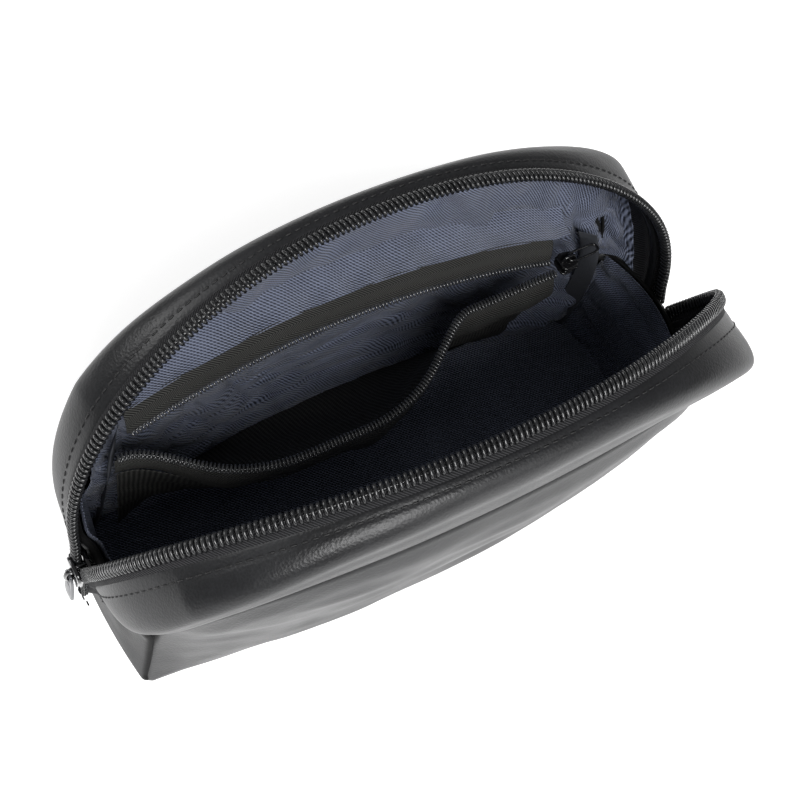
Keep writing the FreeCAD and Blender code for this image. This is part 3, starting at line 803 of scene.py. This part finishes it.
def zipper_tail(sign, word):
    """Closed teeth and tape sewn down the outside of an end gusset below a zipper end."""
    z = np.linspace(HINGE_Z - 1.2, HINGE_Z - 20.5, 300)
    for side, half in ((-1, "front"), (1, "back")):
        line = stack(sign * tail_line(z), side * 2.0, z - side * PITCH / 4)
        down = np.broadcast_to(-UP, line.shape)
        wide = np.broadcast_to(np.array([0, side, 0.0]), line.shape)
        out = np.broadcast_to(np.array([sign, 0.0, 0]), line.shape)
        teeth = coil("%s_tail_teeth_%s" % (word, half), line, down, wide, out, PITCH, 0.85)
        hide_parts("%s_tail_chain_%s" % (word, half))
        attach(teeth, "pouch_body")
        across = np.linspace(0.4, TAPE_HALF, 12)[None, :]
        drop = np.linspace(0, 1, 24)[:, None]
        foot = 20.5 - 2.5 * smooth(across, 6.0, TAPE_HALF)
        level = HINGE_Z - 0.6 - drop * foot
        wave = 0.18 * np.sin(drop * 9 + across)
        flat = end_face(across, level) + 0.75 + 0.3 * wave
        flat = flat + (tail_line(level) - 0.35 - flat) * (1 - smooth(across, 1.5, 4.5))
        grid = stack(sign * flat, side * across, level)
        tape = facing(grid_piece("%s_tail_woven_%s" % (word, half), grid, TAPE), np.array([0, 0, 40.0]))
        thicken(tape, 0.5, 1, 0.0)
        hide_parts("%s_tail_tape_%s" % (word, half))
        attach(tape, "pouch_body")
    rows = []
    run = np.linspace(-0.95, 0.95, 5)
    taper = np.array([0.6, 1, 1, 1, 0.6])
    for side in (-1, 1):
        for level in np.arange(HINGE_Z - 12.0, HINGE_Z - 20.0, -2.6):
            path = stack(sign * (end_face(7.6, level) + 1.05), side * 7.6, level + run)
            rows.append(tube_parts(path, 0.27 * taper, 7, (sign, 0, 0)))
    foot = HINGE_Z - TAIL_FOOT
    for y in np.arange(-6.2, 6.3, 2.5):
        stand = tail_line(foot) + 1.25 - 0.2 * max(abs(y) - 2.5, 0)
        rows.append(tube_parts(stack(sign * stand, y + run, foot), 0.3 * taper, 7, (sign, 0, 0)))
    sewn = many(word + "_tail_stitches", rows, THREAD)
    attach(sewn, "pouch_body")


def end_stop():
    """Bar tack that closes the zipper's right end."""
    turns = np.linspace(-1, 1, 9)
    parts = []
    for i, y in enumerate(np.linspace(-4.2, 4.2, 13)):
        path = stack(TAIL_X + 1.5 - 0.5 * turns ** 2, y + 0.12 * (-1) ** i, HINGE_Z - 0.2 + 1.3 * turns)
        parts.append(tube_parts(path, 0.40, 7, (1, 0, 0)))
    obj = many("right_bar_tack", parts, THREAD)
    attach(obj, "pouch_body")


def main_slider():
    """Slider with its two plates, guides, divider and bridge."""
    x = -TAIL_X
    across, up = (0, 1, 0), (0, 0, 1)
    parts = [plate((x - 2.35, 0, HINGE_Z), across, up, 9.2, 11.0, 1.3, 0.45, 3.4, 0.14),
             plate((x + 2.35, 0, HINGE_Z), across, up, 9.2, 11.0, 1.3, 0.45, 3.4, 0.14)]
    for y in (-4.1, 4.1):
        for shift in (-1.5, 1.5):
            path = stack(x + shift, y * (1 + 0.1 * np.linspace(-1, 1, 9)),
                         HINGE_Z + np.linspace(-4.6, 4.6, 9))
            parts.append(tube_parts(path, 0.62, 10, (1, 0, 0)))
    parts.append(tube_parts(stack(np.linspace(x - 2, x + 2, 5), 0.0, HINGE_Z + 4.3), 0.7, 10))
    a = np.linspace(0, math.pi, 21)
    rise = np.sin(a) ** 0.6
    parts.append(tube_parts(stack(x - 2.9 - 2.4 * rise, 0.0, HINGE_Z - 0.2 - 3.9 * np.cos(a)),
                            0.72 + 0.25 * (1 - rise), 12, (0, 1, 0)))
    obj = many("main_slider_body", parts, ENAMEL)
    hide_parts("main_slider")
    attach(obj, "main_slider")


def main_puller():
    low, high = (np.array(c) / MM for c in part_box("main_puller"))
    middle = (low + high) / 2
    long = high[2] - low[2]
    parts = [plate(middle, (0, 1, 0), (0, 0, 1), high[1] - low[1], long, 1.05, 0.4, 5.0, -0.05,
                   (2.6, 4.6, long / 2 - 3.4))]
    parts.append(plate(middle + np.array([0, 0, -2.5]), (0, 1, 0), (0, 0, 1), 3.4, 12.5, 1.35, 0.3, 5.0))
    obj = many("main_puller_tab", parts, GUNMETAL)
    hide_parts("main_puller")
    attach(obj, "main_puller")


# ------ inner pocket
def pocket_back(obj):
    """Bakes a piece of the pocket's back into its mesh where it stands."""
    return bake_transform(obj)


def pocket_coils():
    for word, front, left in (("back", False, -88.0), ("front", True, -95.0)):
        x = np.linspace(left, POCKET_RIGHT - 1.5, 900)
        line = pocket_line(front, x)
        tangent = unit(np.gradient(line, axis=0))
        wide = unit(np.cross(tangent, UP)) * (1 if front else -1)
        obj = coil("pocket_teeth_" + word, line, tangent, wide, np.broadcast_to(UP, line.shape),
                   1.32, 0.62, FINE_COIL_PAINTED_GLINT)
        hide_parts("pocket_chain_" + word)
        if front:
            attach(obj, "pocket_flap")
        else:
            pocket_back(obj)


def pocket_front_tape():
    """Wide tape that hangs from the front half and twists a little towards the slider."""
    x = np.linspace(-96.0, POCKET_RIGHT - 3.0, 150)[:, None]
    drop = np.linspace(0, 1, 12)[None, :]
    top = pocket_line(True, x[:, 0])[:, None]
    wave = (1.1 * np.sin(x / 8.5) + 0.7 * np.sin(x / 4.1 + 2)) * drop
    twist = 4.5 * smooth(x, 20, 62) * drop
    wide = 12.0 - 2.0 * smooth(x, 40, POCKET_RIGHT)
    grid = top + stack(0, wave - twist - 1.2 * np.sin(drop * 3), -0.4 - wide * drop)
    inside = np.array([0, 300.0, 60])
    obj = facing(grid_piece("pocket_tape_front_woven", grid, POCKET_TAPE), inside)
    thicken(obj, 0.5, 1, 0.0)
    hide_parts("pocket_tape_front")
    cut_sheet(obj)
    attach(obj, "pocket_flap")


def pocket_back_tape():
    x = np.linspace(-89.0, POCKET_RIGHT - 2.0, 150)[:, None]
    rise = np.linspace(0, 1, 10)[None, :]
    top = pocket_line(False, x[:, 0])[:, None]
    wave = 0.5 * np.sin(x / 7.0) * rise
    grid = top + stack(0, 0.3 + 3.6 * rise ** 1.5 + wave, 0.3 + 9.6 * rise)
    obj = facing(grid_piece("pocket_tape_back_woven", grid, POCKET_TAPE), np.array([0, 0, 140.0]))
    thicken(obj, 0.5, 1, 0.0)
    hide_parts("pocket_tape_back")
    cut_sheet(obj)
    pocket_back(obj)


def pocket_facing():
    """Strip of lining from the pocket's back tape up to the wall lining."""
    x = np.linspace(-89.0, POCKET_RIGHT + 6.0, 120)[:, None]
    go = np.linspace(0, 1, 14)[None, :]
    start = pocket_line(False, np.minimum(x[:, 0], POCKET_RIGHT))[:, None] + np.array([0, 3.6, 9.6])
    start[..., 0] = x
    across = np.clip(np.abs(x) / SEAM_X, 0, 1)
    reach = TOP_CORNER_Y + (SEAM_Y - TOP_CORNER_Y) * (1 - across ** 2.8) ** 0.8 - 4.0
    finish = stack(x, np.maximum(reach, start[..., 1] + 1.5), start[..., 2] + 4.0)
    sag = -1.4 * np.sin(go * math.pi)
    puckers = 0.7 * np.sin(x / 3.1 + 2 * np.sin(x / 17)) * np.sin(go * math.pi)
    grid = start + (finish - start) * go[..., None] + stack(0, 0, sag + puckers)
    obj = facing(grid_piece("pocket_back_facing", grid, TWILL), np.array([0, 0, 200.0]))
    thicken(obj, 0.4, 1, 0.0)
    cut_sheet(obj)
    pocket_back(obj)


def pocket_panel():
    """Dark ribbed front of the pocket, slack between its tape and the floor."""
    x = np.linspace(-95.0, POCKET_RIGHT - 3.5, 120)[:, None]
    fall = np.linspace(0, 1, 34)[None, :]
    top = pocket_line(True, x[:, 0])[:, None] + np.array([0, -0.4, -12.2])
    foot = stack(x * 0.98, split_depth(x) - 12.5, 9.0)
    lens = np.clip(1 - ((x + 10) / 88) ** 2, 0, 1)
    belly = 5.0 * np.sin(fall * math.pi) * lens
    grid = top + (foot - top) * fall[..., None] - stack(0, belly, 0)
    free = np.sin(fall * math.pi) ** 0.5
    folds = fractal(grid * np.array([0.5, 1, 1.5]), 17.0, 5.3, 2) * 2.0 * free
    grid = grid + stack(0, folds, 0)
    obj = facing(grid_piece("pocket_front_panel", grid, RIBBING), np.array([0, 400.0, 60]))
    thicken(obj, 0.5, 1, 0.0)
    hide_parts("pocket_mesh")
    cut_sheet(obj)
    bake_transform(obj)


def small_slider():
    low, high = (np.array(c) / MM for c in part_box("pocket_slider"))
    middle = (low + high) / 2
    x, y = middle[0], middle[1]
    across, along = (0, 1, 0), (-1, 0, 0)
    parts = [plate((x, y, low[2] + 0.5), across, along, 6.8, 7.0, 1.0, 0.35, 3.2, 0.12),
             plate((x, y, POCKET_Z + 1.7), across, along, 6.8, 7.0, 1.0, 0.35, 3.2, 0.12)]
    for shift in (-2.9, 2.9):
        path = stack(x + np.linspace(-2.8, 2.8, 7), y + shift, POCKET_Z)
        parts.append(tube_parts(path, 0.55, 8))
    a = np.linspace(0, math.pi, 17)
    parts.append(tube_parts(stack(x - 2.6 * np.cos(a), y, POCKET_Z + 2.0 + 2.6 * np.sin(a) ** 0.6),
                            0.5, 10, (0, 1, 0)))
    obj = many("pocket_slider_body", parts, ENAMEL)
    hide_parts("pocket_slider")
    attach(obj, "pouch_body")


def small_puller():
    low, high = (np.array(c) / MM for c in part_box("pocket_puller"))
    middle = (low + high) / 2
    parts = [plate(middle, (0, 1, 0), (-1, 0, 0), 4.4, high[0] - low[0], 0.9, 0.4, 3.4, 0.0,
                   (2.5, high[0] - low[0] - 2.0, 0.0))]
    obj = many("pocket_puller_loop", parts, ENAMEL)
    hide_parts("pocket_puller")
    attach(obj, "pocket_puller")


# ------ lining
def settle(grid, pinned, grow, push, frames, cap, inward):
    """Cloth simulation of a slack sheet held at its pinned points; returns the settled points."""
    obj = grid_piece("settling", grid, TWILL)
    group = obj.vertex_groups.new(name="pins")
    group.add(np.nonzero(pinned.ravel())[0].tolist(), 1.0, "REPLACE")
    facing(obj, inward)
    cloth = obj.modifiers.new("cloth", "CLOTH")
    values = {"vertex_group_mass": "pins", "mass": 0.15, "tension_stiffness": 12, "compression_stiffness": 12,
              "shear_stiffness": 6, "bending_stiffness": 0.12, "quality": 6, "shrink_min": -grow}
    for key, value in values.items():
        setattr(cloth.settings, key, value)
    cloth.settings.use_pressure = True
    cloth.settings.uniform_pressure_force = -push
    cloth.settings.effector_weights.gravity = 0.25
    cloth.collision_settings.use_collision = False
    cloth.point_cache.frame_start = 1
    cloth.point_cache.frame_end = frames
    scene = bpy.context.scene
    for frame_number in range(1, frames + 1):
        scene.frame_set(frame_number)
    shape = obj.evaluated_get(bpy.context.evaluated_depsgraph_get()).to_mesh()
    settled = np.array([v.co for v in shape.vertices]).reshape(grid.shape) / MM
    scene.frame_set(1)
    bpy.data.objects.remove(obj)
    move = settled - grid
    n = normals_of(grid, inward)
    outward = np.minimum(np.sum(move * n, axis=-1, keepdims=True) + 0.8, 0)
    move = move - n * outward
    size = np.linalg.norm(move, axis=-1, keepdims=True)
    return grid + move * np.minimum(1, cap / np.maximum(size, 1e-6))


def creases(grid, inward, amount, seed):
    """Slanting soft folds and the puckers that gather towards the sewn ends."""
    turned = np.stack([(grid[..., 0] + 0.6 * grid[..., 2]) / 9.0, grid[..., 1] / 60.0,
                       (grid[..., 2] - 0.6 * grid[..., 0]) / 34.0], -1)
    slant = fractal(turned, 1.0, seed, 2)
    soft = fractal(grid, 24.0, seed + 4.0, 2)
    e = border_distance(grid, ("u0", "u1"))
    gather = np.sin(grid[..., 2] / 1.5 + 1.5 * np.sin(grid[..., 2] / 9.0)) * np.exp(-e / 10.0)
    free = smooth(border_distance(grid), 0.0, 8.0)
    height = amount * (np.abs(slant) * 2.1 + soft * 1.0) * free
    height = np.maximum(height + 0.35 * amount * gather * smooth(e, 0.0, 2.5), -0.7)
    return grid + normals_of(grid, inward) * height[..., None]


def edges(grid):
    """Mask of a grid's border points."""
    mask = np.ones(grid.shape[:2], bool)
    mask[1:-1, 1:-1] = False
    return mask


def cut_sheet(obj):
    """Hands the sheet back unchanged."""
    return obj


def wall_lining(side, word):
    """Lining of one long wall, from the floor to under the zipper tape."""
    t = clustered(0.05, math.pi - 0.05, 150, 1.1)[:, None]
    inside = np.array([0, 0, 55.0])
    low = wall_point(side, t, np.linspace(0.1, 1.93, 60)[None, :])
    low = low + normals_of(low, np.array([0, -side * 300.0, 60])) * 5.2
    high = band_point(side, t, np.linspace(0.12, 0.74, 22)[None, :])
    depth = np.linspace(4.6, 3.0, 22)[None, :, None]
    high = high + normals_of(high, band_inside(side)) * depth
    grid = np.concatenate([low, high], axis=1)
    for _ in range(3):
        grid[:, 1:-1] = (grid[:, :-2] + 2 * grid[:, 1:-1] + grid[:, 2:]) / 4
    grid = creases(grid, inside, 1.5, 31.0 + side)
    grid = settle(grid, edges(grid), 0.05, 0.6, 24, 6.0, inside)
    obj = facing(grid_piece(word + "_lining", grid, TWILL), inside)
    thicken(obj, 0.45, 1, 0.0)
    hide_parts(word + "_lining_upper", word + "_lining_lower", word + "_band_lining")
    cut_sheet(obj)
    return lip_piece(obj)


def floor_lining():
    """Lining of the base and both ends, up to the zipper ends."""
    v = np.linspace(-0.9, 0.9, 36)
    rows = np.array([gusset_row(p, v, 4.3) for p in gusset_path(22, 8, 60)])
    inside = np.array([0, 0, 40.0])
    flat = rows[..., 2] < 5.0
    wrinkled = creases(rows, inside, 1.1, 51.0)
    pinned = edges(rows) | flat
    rows = np.where(flat[..., None], rows, wrinkled)
    rows = settle(rows, pinned, 0.06, 0.3, 20, 5.0, inside)
    obj = facing(grid_piece("floor_lining", rows, TWILL), inside)
    thicken(obj, 0.45, 1, 0.0)
    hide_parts("base_lining", "left_end_lining", "right_end_lining")
    cut_sheet(obj)
    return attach(obj, "pouch_body")


def ribbon(path, centre):
    """Soft strip lying flat across a corner seam, facing a place inside the pouch."""
    tangent = unit(np.gradient(path, axis=0))
    toward = centre - path
    stand = unit(toward - tangent * np.sum(toward * tangent, axis=1, keepdims=True))
    out = np.cross(tangent, stand)
    a = np.linspace(0, 2 * math.pi, 14, endpoint=False)
    lean = 0.5 * np.sin(np.linspace(0, 11, len(path)))[:, None, None] * np.sin(a)[None, :, None]
    ring = (stand[:, None] * (2.6 + 0.45 * np.sin(a)[None, :, None] + lean)
            + out[:, None] * (3.7 * np.cos(a))[None, :, None])
    return loops_solid(path[:, None] + ring)


def bindings():
    """Ribbon folded over the seam at each inner corner."""
    for side, word in ((-1, "front"), (1, "back")):
        for sign, end in ((-1, "left"), (1, "right")):
            rise = np.linspace(8.0, HINGE_Z - 4.0, 24)
            share = rise / HINGE_Z
            corner_x = BASE_X + (SEAM_X - BASE_X) * share - 6.2
            corner_y = CORNER_Y + (TOP_CORNER_Y - CORNER_Y) * share - 6.0
            low = stack(sign * corner_x, side * corner_y, rise)
            t = np.linspace(0.05, 0.36, 24)
            t = t if sign < 0 else math.pi - t
            high = seam_point(side, t) + np.array([-sign * 6.2, -side * 6.6, 0])
            path = np.concatenate([low, high])
            for _ in range(120):
                path[1:-1] = (path[:-2] + 2 * path[1:-1] + path[2:]) / 4
            centre = np.array([sign * 55.0, 0.0, HINGE_Z + 20])
            obj = many("%s_%s_binding" % (word, end), [ribbon(path, centre)], BINDING)
            lip_piece(obj)


# ------ studio
FLOOR_GLOW = 0.6


def area_light(name, place, target, size, power):
    data = bpy.data.lights.new(name, "AREA")
    data.shape = "RECTANGLE"
    data.size, data.size_y = size
    data.energy = power
    obj = bpy.data.objects.new(name, data)
    bpy.context.scene.collection.objects.link(obj)
    obj.location = place
    obj.rotation_mode = "QUATERNION"
    obj.rotation_quaternion = (Vector(target) - Vector(place)).to_track_quat("-Z", "Y")
    return obj


def studio():
    mat, tree, shader = new_material("pale_floor", (0.86, 0.86, 0.86), 0.75)
    tree.links.new(ramp(tree, noise_tex(tree, coords(tree, "Object"), 3.0),
                        [(0.3, (0.85, 0.85, 0.85)), (0.7, (0.88, 0.88, 0.88))]),
                   shader.inputs["Base Color"])
    shader.inputs["Emission Color"].default_value = (1, 1, 1, 1)
    shader.inputs["Emission Strength"].default_value = FLOOR_GLOW
    corners = [(x * 4000, y * 4000, -0.3) for x, y in ((-1, -1), (1, -1), (1, 1), (-1, 1))]
    floor = merged("floor", corners, [(0, 1, 2, 3)], mat)
    world = bpy.data.worlds.new("studio")
    world.use_nodes = True
    world.node_tree.nodes["Background"].inputs[0].default_value = (1, 1, 1, 1)
    world.node_tree.nodes["Background"].inputs[1].default_value = 0.24
    bpy.context.scene.world = world
    bpy.context.scene.view_settings.view_transform = "Standard"
    area_light("key", (-0.35, -1.1, 1.5), (0, 0, 0.05), (1.0, 0.8), 34)
    area_light("rim", (-0.9, 1.0, 1.2), (0, 0, 0.08), (0.9, 0.5), 9)
    area_light("front", (0.5, -1.5, 0.7), (0, -0.2, 0.0), (1.2, 0.5), 6)


def camera():
    """Camera above the front left, turned to the left, looking at the zipper ends' height."""
    azimuth, elevation, roll, distance = -0.9454, 1.1309, 0.4757, 0.50426
    back = Vector((math.sin(azimuth) * math.cos(elevation), -math.cos(azimuth) * math.cos(elevation),
                   math.sin(elevation)))
    right = (-back).cross(Vector((0, 0, 1))).normalized()
    up = right.cross(-back)
    turned_right = right * math.cos(roll) + up * math.sin(roll)
    turned_up = up * math.cos(roll) - right * math.sin(roll)
    data = bpy.data.cameras.new("camera")
    data.sensor_width = 36.0
    data.lens = 65.41335
    data.shift_x = 0.0080125
    data.shift_y = 0.0365875
    data.clip_start = 0.01
    data.clip_end = 20
    obj = bpy.data.objects.new("camera", data)
    bpy.context.scene.collection.objects.link(obj)
    obj.rotation_mode = "QUATERNION"
    axes = np.array([turned_right, turned_up, back]).T
    obj.matrix_world = Matrix.Translation(back * distance + Vector((0, 0, HINGE_Z * MM))) @ \
        Matrix(axes.tolist()).to_4x4()
    bpy.context.scene.camera = obj


camera()
studio()
for side, word in ((-1, "front"), (1, "back")):
    leather_panel(side, word)
    leather_band(side, word)
    main_chain(side, word)
    main_tape(side, word)
    wall_lining(side, word)
end_gusset()
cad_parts["base_board"].data.materials.clear()
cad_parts["base_board"].data.materials.append(BOARD)
floor_lining()
bindings()
zipper_tail(-1, "left")
zipper_tail(1, "right")
end_stop()
main_slider()
main_puller()
pocket_coils()
pocket_front_tape()
pocket_back_tape()
pocket_facing()
pocket_panel()
small_slider()
small_puller()
